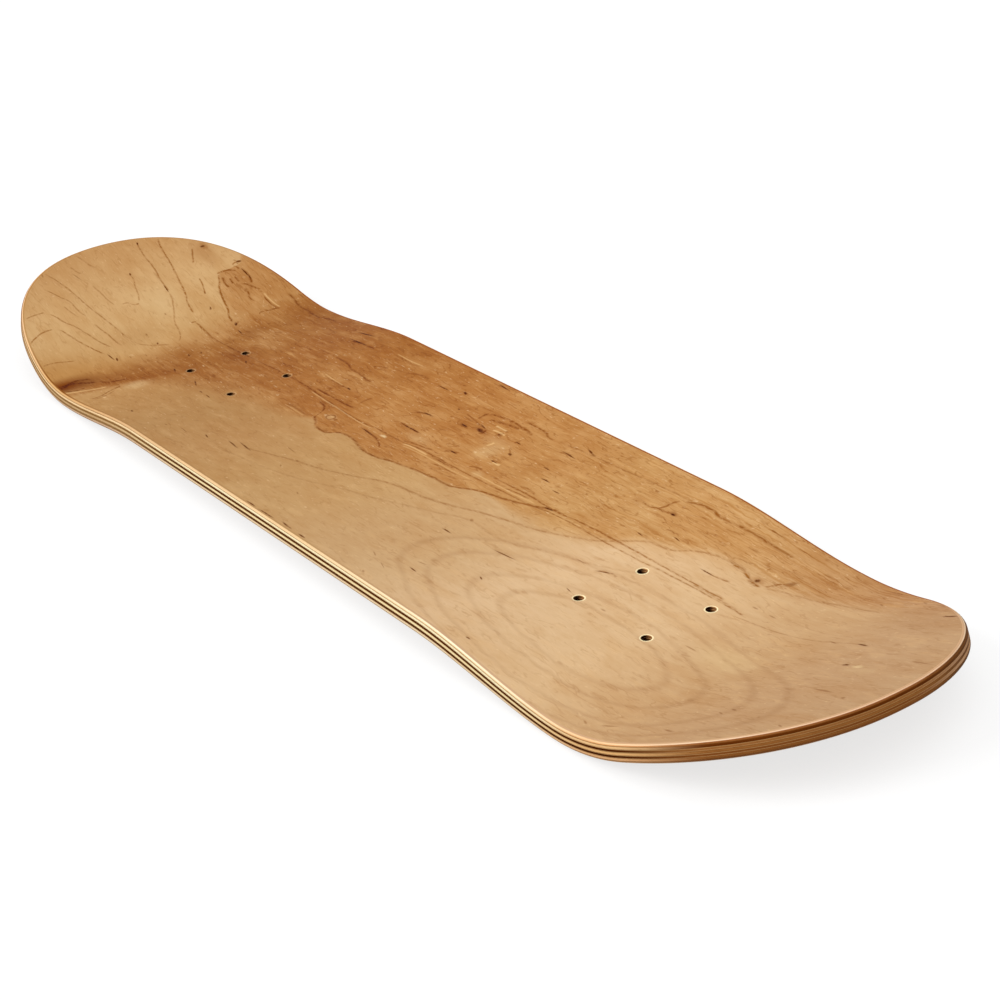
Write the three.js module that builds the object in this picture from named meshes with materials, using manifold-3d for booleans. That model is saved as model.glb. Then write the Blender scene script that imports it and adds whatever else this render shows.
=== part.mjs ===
// A skateboard deck: seven maple veneers, glued and pressed into one curved board.
// Millimetres. X runs from the tail to the nose, Y across the board and Z up.
// The origin lies midway between the two sets of truck bolts, on the flat of the underside.

import * as THREE from 'three';
import { mergeVertices } from 'three/addons/utils/BufferGeometryUtils.js';
import Module from 'manifold-3d';

const wasm = await Module();
wasm.setup();

// Across the board
const deckWidth = 203.2;
const flatWidth = 24.4; // level strip down the middle, where the trucks seat
const railRise = 10.5; // height of the rails over the level strip, between the trucks
const concavePower = 1.5; // 1 is a straight slope up to the rail, 2 a parabola

// Through the board
const veneerThickness = 1.3;
const glueLine = 0.06; // room for the glue between two veneers
const edgeRadius = 2.2; // rounding of the rim, above and below

// Truck bolts
const wheelbase = 361.95; // between the inner bolt rows of the two trucks
const boltRowSpacing = 53.98; // along the board
const boltSideSpacing = 41.28; // across the board
const boltHoleDiameter = 5.56;
const cutOverrun = 5;

// The two ends. Lengths along the board are measured over its upper face. The fullness
// of an end is the pair of powers of its superellipse, along the board and across it.
const nose = {
  direction: 1,
  kickLead: 24.5, // from the outer bolts to the foot of the kick
  kickRadius: 122,
  kickAngle: 17.75,
  overhang: 174.5, // from the outer bolts to the tip
  taperLead: 6, // from the outer bolts to where the rails begin to draw in
  fullnessAlong: 2.85,
  fullnessAcross: 2.15,
  fadeLead: 27, // from the inner bolts back to where the concave begins to fade
  kickRailRise: 1.5, // height of the rails at the foot of the kick
  tipRailRise: 4.1,
};
const tail = {
  direction: -1,
  kickLead: 30.5,
  kickRadius: 142,
  kickAngle: 17.25,
  overhang: 154.5,
  taperLead: 18,
  fullnessAlong: 2.65,
  fullnessAcross: 2.1,
  fadeLead: 29,
  kickRailRise: 0.5,
  tipRailRise: 2.8,
};

// Steps of the mesh
const middleSteps = 3;
const fadeSteps = 7;
const kickSteps = 5;
const tipSteps = 8;
const slopeShares = [0.35, 0.68]; // rings between the level strip and the outline
const roundedSteps = 3;
const holeSides = 12;

// The seven veneers from the top down. Two of them lie with their grain across the board.
const veneers = [
  { name: 'top_face_veneer', colour: 0xcda574, roughness: 0.42 },
  { name: 'upper_core_veneer', colour: 0xe3c496, roughness: 0.6 },
  { name: 'upper_crossband_veneer', colour: 0x6e3f1a, roughness: 0.7 },
  { name: 'centre_core_veneer', colour: 0xdcae7a, roughness: 0.6 },
  { name: 'lower_crossband_veneer', colour: 0x64421c, roughness: 0.7 },
  { name: 'lower_core_veneer', colour: 0xdfc09a, roughness: 0.6 },
  { name: 'bottom_face_veneer', colour: 0xd2ab7c, roughness: 0.42 },
];

const deckThickness = veneers.length * veneerThickness + (veneers.length - 1) * glueLine;
const innerBolts = wheelbase / 2;
const outerBolts = innerBolts + boltRowSpacing;

const fadeStart = (end) => innerBolts - end.fadeLead;
const kickStart = (end) => outerBolts + end.kickLead;
const kickTurn = (end) => THREE.MathUtils.degToRad(end.kickAngle);
const kickEnd = (end) => kickStart(end) + end.kickRadius * kickTurn(end);
const taperStart = (end) => outerBolts + end.taperLead;
const tipAt = (end) => outerBolts + end.overhang;

// The centre line of the upper face: level, then an arc up into the kick, then straight.
function centreLine(end, along) {
  const slope = Math.min(Math.max(along - kickStart(end), 0) / end.kickRadius, kickTurn(end));
  const ramp = Math.max(along - kickEnd(end), 0);
  return {
    slope,
    x: Math.min(along, kickStart(end)) + end.kickRadius * Math.sin(slope) + ramp * Math.cos(slope),
    z: end.kickRadius * (1 - Math.cos(slope)) + ramp * Math.sin(slope),
  };
}

// The concave is full between the trucks, fades under them and comes back a little at the tip.
function railHeight(end, along) {
  const faded = THREE.MathUtils.smoothstep(along, fadeStart(end), kickStart(end));
  const flared = THREE.MathUtils.smoothstep(along, kickStart(end), tipAt(end));
  const atKick = (end.kickRailRise - railRise) * faded;
  const atTip = (end.tipRailRise - end.kickRailRise) * flared;
  return railRise + atKick + atTip;
}

// A point of the upper face, by its distances along the board and across it.
function topPoint(along, across) {
  const end = along < 0 ? tail : nose;
  const distance = Math.abs(along);
  const line = centreLine(end, distance);
  const slopeWidth = (deckWidth - flatWidth) / 2;
  const outside = Math.max(Math.abs(across) - flatWidth / 2, 0) / slopeWidth;
  const lift = railHeight(end, distance) * outside ** concavePower;
  return new THREE.Vector3(
    end.direction * (line.x - lift * Math.sin(line.slope)),
    across,
    deckThickness + line.z + lift * Math.cos(line.slope),
  );
}

// A point at a depth below the upper face, measured square to it.
function pointAt(along, across, depth) {
  const step = veneerThickness / 4;
  const lengthwise = topPoint(along + step, across).sub(topPoint(along - step, across));
  const crosswise = topPoint(along, across + step).sub(topPoint(along, across - step));
  const normal = lengthwise.cross(crosswise).normalize();
  return topPoint(along, across).addScaledVector(normal, -depth);
}

function halfWidth(end, along) {
  const tapered = Math.max(along - taperStart(end), 0) / (tipAt(end) - taperStart(end));
  return (deckWidth / 2) * (1 - tapered ** end.fullnessAlong) ** (1 / end.fullnessAcross);
}

// A quarter of the outline, from the tip of one end to the middle of the rail: x is the
// distance along the board and y the distance across it.
function quarterOutline(end) {
  const points = [];
  const taperLength = tipAt(end) - taperStart(end);
  const fanShare = (kickEnd(end) - taperStart(end)) / taperLength;
  const fanAngle = Math.acos(fanShare ** (end.fullnessAlong / 2));
  for (let i = 0; i < tipSteps; i += 1) {
    const angle = (fanAngle * i) / tipSteps;
    const along = taperStart(end) + taperLength * Math.cos(angle) ** (2 / end.fullnessAlong);
    const across = (deckWidth / 2) * Math.sin(angle) ** (2 / end.fullnessAcross);
    points.push(new THREE.Vector2(along, across));
  }
  const stretches = [
    [kickEnd(end), kickStart(end), kickSteps],
    [kickStart(end), fadeStart(end), fadeSteps],
    [fadeStart(end), 0, middleSteps],
  ];
  for (const [from, to, steps] of stretches) {
    for (let i = 0; i < steps; i += 1) {
      const along = from + ((to - from) * i) / steps;
      points.push(new THREE.Vector2(along, halfWidth(end, along)));
    }
  }
  points.push(new THREE.Vector2(0, deckWidth / 2));
  return points;
}

// The whole outline, counterclockwise from the tip of the nose.
const noseQuarter = quarterOutline(nose);
const tailQuarter = quarterOutline(tail).map((p) => new THREE.Vector2(-p.x, p.y)).reverse();
const leftSide = [...noseQuarter, ...tailQuarter.slice(1)];
const rightSide = leftSide.slice(1, -1).map((p) => new THREE.Vector2(p.x, -p.y)).reverse();
const outline = [...leftSide, ...rightSide];

// The outline drawn in by a distance, square to itself.
function drawnIn(distance) {
  return outline.map((point, i) => {
    const before = outline.at(i - 1);
    const after = outline[(i + 1) % outline.length];
    const inward = new THREE.Vector2(before.y - after.y, after.x - before.x).normalize();
    return point.clone().addScaledVector(inward, distance);
  });
}

// Rings of points that every veneer shares, from the centre line out towards the rim.
const spine = outline.map((p) => {
  return new THREE.Vector2(THREE.MathUtils.clamp(p.x, -kickEnd(tail), kickEnd(nose)), 0);
});
const levelEdge = outline.map((p, i) => {
  return p.clone().sub(spine[i]).setLength(flatWidth / 2).add(spine[i]);
});
const slopeRings = slopeShares.map((share) => {
  return outline.map((p, i) => levelEdge[i].clone().lerp(p, share));
});
const faceRings = [spine, levelEdge, ...slopeRings];

// How far the rounding has drawn the rim in at a depth.
function roundingAt(depth) {
  const radius = Math.min(edgeRadius, deckThickness / 2);
  const toFace = Math.min(depth, deckThickness - depth);
  const short = THREE.MathUtils.clamp(radius - toFace, 0, radius);
  return radius - Math.sqrt(radius ** 2 - short ** 2);
}

// The depths of the rim's points on one veneer, closer together where the rounding is tight.
function rimDepths(top, bottom) {
  const rounded = roundingAt(top) + roundingAt(bottom) > 0;
  const steps = rounded ? roundedSteps : 1;
  return Array.from({ length: steps + 1 }, (_, i) => {
    const share = i / steps;
    const eased = top < deckThickness / 2 ? share ** 2 : 1 - (1 - share) ** 2;
    return top + (bottom - top) * eased;
  });
}

// A closed skin over rings of points that run out over the upper face, down the edge and back
// in under the lower face. The lower face is split along the same diagonals as the upper one,
// so that two veneers lie on each other without crossing.
function closedSkin(upper, edge, lower) {
  const rings = [...upper, ...edge, ...lower];
  const lowerFrom = rings.length - lower.length;
  const count = outline.length;
  const index = [];
  for (let ring = 0; ring + 1 < rings.length; ring += 1) {
    for (let i = 0; i < count; i += 1) {
      const a = ring * count + i;
      const b = ring * count + ((i + 1) % count);
      const c = a + count;
      const d = b + count;
      if (ring + 1 < lowerFrom) index.push(a, c, d, a, d, b);
      else index.push(a, c, b, c, d, b);
    }
  }
  const geometry = new THREE.BufferGeometry().setFromPoints(rings.flat());
  geometry.setIndex(index);
  const merged = mergeVertices(geometry);
  const corners = merged.index.array;
  const kept = [];
  for (let i = 0; i < corners.length; i += 3) {
    const [a, b, c] = corners.slice(i, i + 3);
    if (a !== b && b !== c && c !== a) kept.push(a, b, c);
  }
  merged.setIndex(kept);
  return merged;
}

function solidOf(geometry) {
  return new wasm.Manifold(new wasm.Mesh({
    numProp: 3,
    vertProperties: new Float32Array(geometry.attributes.position.array),
    triVerts: new Uint32Array(geometry.index.array),
  }));
}

function geometryOf(solid) {
  const mesh = solid.getMesh();
  const geometry = new THREE.BufferGeometry();
  geometry.setAttribute('position', new THREE.BufferAttribute(mesh.vertProperties, 3));
  geometry.setIndex(new THREE.BufferAttribute(mesh.triVerts, 1));
  return geometry;
}

// One veneer, bent to the shape of the board at its own depth.
function veneerSolid(top) {
  const bottom = top + veneerThickness;
  const lay = (ring, depth) => ring.map((p) => pointAt(p.x, p.y, depth));
  const upper = faceRings.map((ring) => lay(ring, top));
  const edge = rimDepths(top, bottom).map((depth) => lay(drawnIn(roundingAt(depth)), depth));
  const lower = faceRings.map((ring) => lay(ring, bottom)).reverse();
  return solidOf(closedSkin(upper, edge, lower));
}

// The eight bolt holes, drilled straight down.
function boltHoles() {
  const length = deckThickness + railRise + 2 * cutOverrun;
  const radius = boltHoleDiameter / 2;
  const drill = new THREE.CylinderGeometry(radius, radius, length, holeSides);
  drill.rotateX(Math.PI / 2);
  drill.deleteAttribute('normal');
  drill.deleteAttribute('uv');
  const hole = solidOf(mergeVertices(drill));
  const placed = [];
  for (const x of [-outerBolts, -innerBolts, innerBolts, outerBolts]) {
    for (const y of [-boltSideSpacing / 2, boltSideSpacing / 2]) {
      placed.push(hole.translate([x, y, deckThickness / 2]));
    }
  }
  return wasm.Manifold.union(placed);
}

const deck = new THREE.Group();
const holes = boltHoles();
veneers.forEach(({ name, colour, roughness }, i) => {
  const solid = veneerSolid(i * (veneerThickness + glueLine)).subtract(holes);
  const material = new THREE.MeshStandardMaterial({ color: colour, roughness, metalness: 0 });
  const mesh = new THREE.Mesh(geometryOf(solid), material);
  mesh.name = name;
  deck.add(mesh);
});

export default deck;
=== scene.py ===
# A bare skateboard deck: seven maple veneers glued and pressed into one curved board, cut to
# its outline, rounded at the rim, drilled for the truck bolts and lacquered.
# X runs from the tail to the nose, Y across the board and Z up. Blender's unit is the metre.

import math

import bmesh
import bpy
from mathutils import Matrix, Vector


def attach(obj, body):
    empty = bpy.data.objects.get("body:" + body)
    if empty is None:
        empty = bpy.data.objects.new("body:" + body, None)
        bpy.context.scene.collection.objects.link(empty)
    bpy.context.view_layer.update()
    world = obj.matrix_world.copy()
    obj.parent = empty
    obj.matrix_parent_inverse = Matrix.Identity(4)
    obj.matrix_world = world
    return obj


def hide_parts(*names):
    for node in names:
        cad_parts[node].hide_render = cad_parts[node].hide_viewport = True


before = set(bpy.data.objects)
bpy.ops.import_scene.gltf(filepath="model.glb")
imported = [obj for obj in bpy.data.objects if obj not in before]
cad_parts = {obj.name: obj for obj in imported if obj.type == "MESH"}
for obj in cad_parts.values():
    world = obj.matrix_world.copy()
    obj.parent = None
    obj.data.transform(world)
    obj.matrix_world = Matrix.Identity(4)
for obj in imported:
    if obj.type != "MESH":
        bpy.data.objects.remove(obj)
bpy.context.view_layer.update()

# Bottom face veneer
# The lowest of the seven veneers: maple, 1.3 mm thick, with its grain along the board. The
# press bends it with the other six, and it is cut, rounded at the rim, drilled and lacquered
# with them. Its outer face is the underside of the deck.

mm = 0.001

deck_width = 203.2 * mm
flat_width = 24.4 * mm
rail_rise = 10.5 * mm
concave_power = 1.5
veneer_thickness = 1.3 * mm
glue_line = 0.06 * mm
edge_radius = 2.2 * mm
inner_bolts = 361.95 / 2 * mm
bolt_row_spacing = 53.98 * mm
bolt_side_spacing = 41.28 * mm
bolt_hole_diameter = 5.56 * mm
veneer_count = 7

deck_thickness = veneer_count * veneer_thickness + (veneer_count - 1) * glue_line
outer_bolts = inner_bolts + bolt_row_spacing
bolt_hole_radius = bolt_hole_diameter / 2
merge_distance = glue_line / 10


def shaped_end(direction, kick_lead, kick_radius, kick_angle, overhang, taper_lead, fullness,
               fade_lead, rail_rises):
    """One end of the board. Lengths are in mm over the upper face. The leads and the overhang
    are measured from the bolts."""
    kick_start = outer_bolts + kick_lead * mm
    kick_turn = math.radians(kick_angle)
    return {
        "direction": direction,
        "fade_start": inner_bolts - fade_lead * mm,
        "kick_start": kick_start,
        "kick_radius": kick_radius * mm,
        "kick_turn": kick_turn,
        "kick_end": kick_start + kick_radius * mm * kick_turn,
        "taper_start": outer_bolts + taper_lead * mm,
        "tip": outer_bolts + overhang * mm,
        "fullness": fullness,
        "kick_rail_rise": rail_rises[0] * mm,
        "tip_rail_rise": rail_rises[1] * mm,
    }


nose = shaped_end(direction=1, kick_lead=24.5, kick_radius=122, kick_angle=17.75, overhang=174.5,
                  taper_lead=6, fullness=(2.85, 2.15), fade_lead=27, rail_rises=(1.5, 4.1))
tail = shaped_end(direction=-1, kick_lead=30.5, kick_radius=142, kick_angle=17.25, overhang=154.5,
                  taper_lead=18, fullness=(2.65, 2.1), fade_lead=29, rail_rises=(0.5, 2.8))


def smooth_step(value, low, high):
    share = min(max((value - low) / (high - low), 0), 1)
    return share * share * (3 - 2 * share)


def top_point(along, across):
    """A point of the board's upper face, by its distances along the board and across it."""
    end = tail if along < 0 else nose
    distance = abs(along)
    slope = min(max(distance - end["kick_start"], 0) / end["kick_radius"], end["kick_turn"])
    ramp = max(distance - end["kick_end"], 0)
    flat = min(distance, end["kick_start"])
    x = flat + end["kick_radius"] * math.sin(slope) + ramp * math.cos(slope)
    z = end["kick_radius"] * (1 - math.cos(slope)) + ramp * math.sin(slope)
    faded = smooth_step(distance, end["fade_start"], end["kick_start"])
    flared = smooth_step(distance, end["kick_start"], end["tip"])
    rise = rail_rise + (end["kick_rail_rise"] - rail_rise) * faded
    rise += (end["tip_rail_rise"] - end["kick_rail_rise"]) * flared
    outside = max(abs(across) - flat_width / 2, 0) / ((deck_width - flat_width) / 2)
    lift = rise * outside ** concave_power
    return Vector((
        end["direction"] * (x - lift * math.sin(slope)),
        across,
        deck_thickness + z + lift * math.cos(slope),
    ))


def point_at(along, across, depth):
    """A point at a depth below the upper face, measured square to it."""
    step = veneer_thickness / 4
    lengthwise = top_point(along + step, across) - top_point(along - step, across)
    crosswise = top_point(along, across + step) - top_point(along, across - step)
    return top_point(along, across) - lengthwise.cross(crosswise).normalized() * depth


def quarter_outline(end, tip_steps, kick_steps, fade_steps, middle_steps):
    """The outline from the tip of one end to the middle of the rail."""
    along_power, across_power = end["fullness"]
    taper_length = end["tip"] - end["taper_start"]
    fan_share = (end["kick_end"] - end["taper_start"]) / taper_length
    fan_angle = math.acos(fan_share ** (along_power / 2))
    points = []
    for i in range(tip_steps):
        angle = fan_angle * i / tip_steps
        along = end["taper_start"] + taper_length * math.cos(angle) ** (2 / along_power)
        points.append((along, deck_width / 2 * math.sin(angle) ** (2 / across_power)))
    stretches = [
        (end["kick_end"], end["kick_start"], kick_steps),
        (end["kick_start"], end["fade_start"], fade_steps),
        (end["fade_start"], 0, middle_steps),
    ]
    for start, stop, steps in stretches:
        for i in range(steps):
            along = start + (stop - start) * i / steps
            tapered = max(along - end["taper_start"], 0) / taper_length
            width_share = (1 - tapered**along_power) ** (1 / across_power)
            points.append((along, deck_width / 2 * width_share))
    return points + [(0, deck_width / 2)]


steps = {"tip_steps": 44, "kick_steps": 14, "fade_steps": 26, "middle_steps": 14}
nose_quarter = [Vector(p) for p in quarter_outline(nose, **steps)]
tail_quarter = [Vector((-x, y)) for x, y in reversed(quarter_outline(tail, **steps))]
left_side = nose_quarter + tail_quarter[1:]
right_side = [Vector((p.x, -p.y)) for p in reversed(left_side[1:-1])]
outline = left_side + right_side
spine = [Vector((min(max(p.x, -tail["kick_end"]), nose["kick_end"]), 0)) for p in outline]
inward = []
for i, point in enumerate(outline):
    run = outline[(i + 1) % len(outline)] - outline[i - 1]
    inward.append(Vector((-run.y, run.x)).normalized())


def rounding_at(depth):
    """How far the rounding of the rim has drawn it in at a depth."""
    to_face = min(depth, deck_thickness - depth)
    short = min(max(edge_radius - to_face, 0), edge_radius)
    return edge_radius - math.sqrt(edge_radius**2 - short**2)


round_steps = 12
round_angles = [math.pi / 2 * k / round_steps for k in range(1, round_steps + 1)]
turned = [edge_radius * (1 - math.cos(angle)) for angle in round_angles]
round_depths = turned + [deck_thickness - depth for depth in turned]
seen_rings = 30
hidden_rings = 6
crease_angle = math.radians(30)
face_slot, rim_slot, hole_slot = range(3)


def pressed_veneer(name, number, upper_rings, lower_rings):
    """Veneer number 0 to 6 from the top, as one closed sheet. It starts as a flat grid, which
    is rolled out over the upper face, down the rim and back in under the lower face."""
    top = number * (veneer_thickness + glue_line)
    bottom = top + veneer_thickness
    rim = sorted({top, bottom} | {depth for depth in round_depths if top < depth < bottom})
    rows = [(i / upper_rings, top) for i in range(upper_rings)]
    rows += [(1, depth) for depth in rim]
    rows += [(1 - i / lower_rings, bottom) for i in range(1, lower_rings + 1)]
    count = len(outline)

    sheet = bmesh.new()
    bmesh.ops.create_grid(sheet, x_segments=count, y_segments=len(rows) - 1, size=1)
    sheet.verts.ensure_lookup_table()
    place = sheet.verts.layers.float_vector.new("place")
    facing = sheet.verts.layers.float.new("facing")
    for row, (share, depth) in enumerate(rows):
        drawn = rounding_at(depth)
        for i in range(count + 1):
            vertex = sheet.verts[row * (count + 1) + i]
            on_rim = outline[i % count] + inward[i % count] * drawn
            at = spine[i % count].lerp(on_rim, share)
            vertex.co = point_at(at.x, at.y, depth)
            vertex[place] = (at.x, at.y, (depth - top) / veneer_thickness)
            vertex[facing] = abs(inward[i % count].x)
    bmesh.ops.remove_doubles(sheet, verts=sheet.verts, dist=merge_distance)
    bmesh.ops.recalc_face_normals(sheet, faces=sheet.faces)

    board_map = sheet.loops.layers.uv.new("board")
    rim_map = sheet.loops.layers.uv.new("rim")
    for face in sheet.faces:
        face.smooth = True
        shares = [vertex[place].z for vertex in face.verts]
        face.material_index = rim_slot if max(shares) > min(shares) else face_slot
        for loop in face.loops:
            along, across, share = loop.vert[place]
            loop[board_map].uv = (along, across)
            loop[rim_map].uv = (loop.vert[facing], share)
    for edge in sheet.edges:
        edge.smooth = edge.calc_face_angle(0) < crease_angle
    sheet.verts.layers.float_vector.remove(place)
    sheet.verts.layers.float.remove(facing)
    mesh = bpy.data.meshes.new(name)
    sheet.to_mesh(mesh)
    sheet.free()
    piece = bpy.data.objects.new(name, mesh)
    bpy.context.scene.collection.objects.link(piece)
    return piece


def bolt_drill():
    """The eight bolt holes as one cutting tool, each flared a little at both faces."""
    flare = 0.1 * mm
    overrun = 3 * mm
    hole_sides = 48
    wide = bolt_hole_radius + flare + overrun
    bits = bmesh.new()
    for x in (-outer_bolts, -inner_bolts, inner_bolts, outer_bolts):
        for y in (-bolt_side_spacing / 2, bolt_side_spacing / 2):
            upper = top_point(x, y).z
            lower = point_at(x, y, deck_thickness).z
            profile = [
                (0, lower - overrun), (wide, lower - overrun), (bolt_hole_radius, lower + flare),
                (bolt_hole_radius, upper - flare), (wide, upper + overrun), (0, upper + overrun),
            ]
            verts = [bits.verts.new((x + reach, y, z)) for reach, z in profile]
            edges = [bits.edges.new(pair) for pair in zip(verts, verts[1:])]
            bmesh.ops.spin(bits, geom=verts + edges, cent=(x, y, 0), axis=(0, 0, 1),
                           angle=2 * math.pi, steps=hole_sides, use_merge=True)
    bmesh.ops.remove_doubles(bits, verts=bits.verts, dist=merge_distance)
    bmesh.ops.recalc_face_normals(bits, faces=bits.faces)
    for face in bits.faces:
        face.material_index = hole_slot
        face.smooth = True
    mesh = bpy.data.meshes.new("bolt_drill")
    bits.to_mesh(mesh)
    bits.free()
    tool = bpy.data.objects.new("bolt_drill", mesh)
    bpy.context.scene.collection.objects.link(tool)
    return tool


drill = bolt_drill()


def drilled(piece):
    """Cuts the bolt holes through a piece. It already has its three finishes, the last of which
    goes to the walls of the holes."""
    cut = piece.modifiers.new("bolt_holes", "BOOLEAN")
    cut.operation = "DIFFERENCE"
    cut.solver = "EXACT"
    cut.material_mode = "INDEX"
    cut.object = drill
    bpy.context.view_layer.update()
    graph = bpy.context.evaluated_depsgraph_get()
    mesh = bpy.data.meshes.new_from_object(piece.evaluated_get(graph))
    piece.modifiers.clear()
    piece.data = mesh
    mesh.name = piece.name


class Value:
    """A number that varies over a surface. Sums and products of it add Math nodes."""

    def __init__(self, finish, socket):
        self.finish = finish
        self.socket = socket

    def math(self, operation, *others):
        return self.finish.node("Math", {"operation": operation}, [self, *others])

    def __add__(self, other):
        return self.math("ADD", other)

    def __sub__(self, other):
        return self.math("SUBTRACT", other)

    def __rsub__(self, other):
        return self.finish.node("Math", {"operation": "SUBTRACT"}, [other, self])

    def __mul__(self, other):
        return self.math("MULTIPLY", other)

    def __truediv__(self, other):
        return self.math("DIVIDE", other)

    def __abs__(self):
        return self.math("ABSOLUTE")

    __radd__ = __add__
    __rmul__ = __mul__


class Finish:
    """The nodes of a material or of the world. All of them are added by node(). Their sockets
    go by name, or by number where several share a name."""

    def __init__(self, owner):
        self.owner = owner
        owner.use_nodes = True
        self.tree = owner.node_tree
        self.output = next(node for node in self.tree.nodes if node.type.startswith("OUTPUT"))
        self.surface = self.output.inputs["Surface"].links[0].from_node

    def node(self, kind, settings, values, output=0):
        """Sets up a node, then gives its sockets their values or links. Its result is one of
        its outputs. A ramp's stops and a curve's path are added to the two that are there."""
        made = self.tree.nodes.new("ShaderNode" + kind)
        for key, setting in settings.items():
            if key == "stops":
                for _ in range(len(setting) - 2):
                    made.color_ramp.elements.new(0.5)
                for element, (position, colour) in zip(made.color_ramp.elements, setting):
                    element.position = position
                    element.color = colour
            elif key == "path":
                curve = made.mapping.curves[0]
                for _ in range(len(setting) - 2):
                    curve.points.new(0.5, 0.5)
                for point, place in zip(curve.points, setting):
                    point.location = place
                made.mapping.update()
            else:
                setattr(made, key, setting)
        for key, value in values.items() if isinstance(values, dict) else enumerate(values):
            if isinstance(value, Value):
                self.tree.links.new(value.socket, made.inputs[key])
            else:
                made.inputs[key].default_value = value
        return Value(self, made.outputs[output])

    def wear(self, **looks):
        """Sets the sockets of the surface shader, by their names with _ for a space."""
        for key, value in looks.items():
            socket = self.surface.inputs[key.replace("_", " ")]
            if isinstance(value, Value):
                self.tree.links.new(value.socket, socket)
            else:
                socket.default_value = value


def tone(red, green, blue):
    """A colour from 0 to 255, as Blender wants it."""
    shares = [channel / 255 for channel in (red, green, blue)]
    linear = [s / 12.92 if s < 0.04045 else ((s + 0.055) / 1.055) ** 2.4 for s in shares]
    return (*linear, 1)


def coordinate(place, axis):
    """One of the three numbers of a place, as "X", "Y" or "Z"."""
    return place.finish.node("SeparateXYZ", {}, [place], axis)


def rising(value, low, high):
    """0 up to low and 1 from high, with a smooth change between them."""
    settings = {"interpolation_type": "SMOOTHSTEP", "clamp": False}
    return value.finish.node("MapRange", settings, {0: value, 1: low, 2: high})


def grain(place, cell, seed, detail=2.0):
    """Noise from 0 to 1, in cells of these sizes in mm. On a flat veneer a cell has two."""
    scale = [1 / (size * mm) for size in cell] + [1] * (3 - len(cell))
    values = [place, (seed, seed, seed), (0, 0, 0), scale]
    moved = place.finish.node("Mapping", {}, values)
    values = {"Vector": moved, "Scale": 1, "Detail": detail, "Roughness": 0.55}
    return place.finish.node("TexNoise", {}, values)


def blended(share, first, second):
    """The first colour where share is 0 and the second where it is 1."""
    settings = {"data_type": "RGBA"}
    return share.finish.node("Mix", settings, {0: share, 6: first, 7: second}, 2)


def stained(colour, share, stain):
    """The colour, multiplied by the red, green and blue of the stain where share is 1."""
    settings = {"data_type": "RGBA", "blend_type": "MULTIPLY"}
    return share.finish.node("Mix", settings, {0: share, 6: colour, 7: (*stain, 1)}, 2)


def lacquered(finish, colour, roughness, height, relief, gloss=0.04):
    """Clear satin lacquer over wood of this colour. The relief is a real depth."""
    values = {"Strength": 1, "Distance": relief, "Height": height}
    bump = finish.node("Bump", {}, values)
    finish.wear(Base_Color=colour, Roughness=roughness, Normal=bump)
    finish.wear(Specular_IOR_Level=gloss / 4, Coat_Weight=gloss, Coat_Roughness=0.25)


board_start = -395
board_end = 410


def toned_along(along, tones):
    """Colour from a table of places along the board in mm, with the tone at each of them."""
    length = board_end - board_start
    share = (along - board_start * mm) / (length * mm)
    stops = [((at - board_start) / length, tone(*rgb)) for at, *rgb in tones]
    return along.finish.node("ValToRGB", {"stops": stops}, [share])


# the painted highlight along the rounded corner (the arris) of a face veneer, and the rounded skin
# between it and the face
arris_highlight_tones = [
    (-395, 246, 202, 164), (-340, 255, 226, 188), (-290, 246, 206, 156), (-240, 252, 232, 194),
    (-185, 255, 250, 216), (-110, 250, 224, 182), (-46, 238, 200, 150), (185, 220, 176, 128),
    (276, 226, 176, 112), (326, 250, 210, 162), (405, 250, 210, 166),
]
# the skin is darkest from 262 to 285 mm: partly wood and partly painted shade of the crease at the
# foot of the nose's kick
skin_tones = [
    (-395, 206, 164, 124), (-185, 198, 160, 126), (-46, 180, 140, 92), (185, 164, 120, 74),
    (240, 160, 112, 62), (262, 134, 78, 24), (285, 144, 90, 36), (326, 190, 146, 94),
    (390, 180, 130, 74), (405, 176, 126, 70),
]


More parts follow.
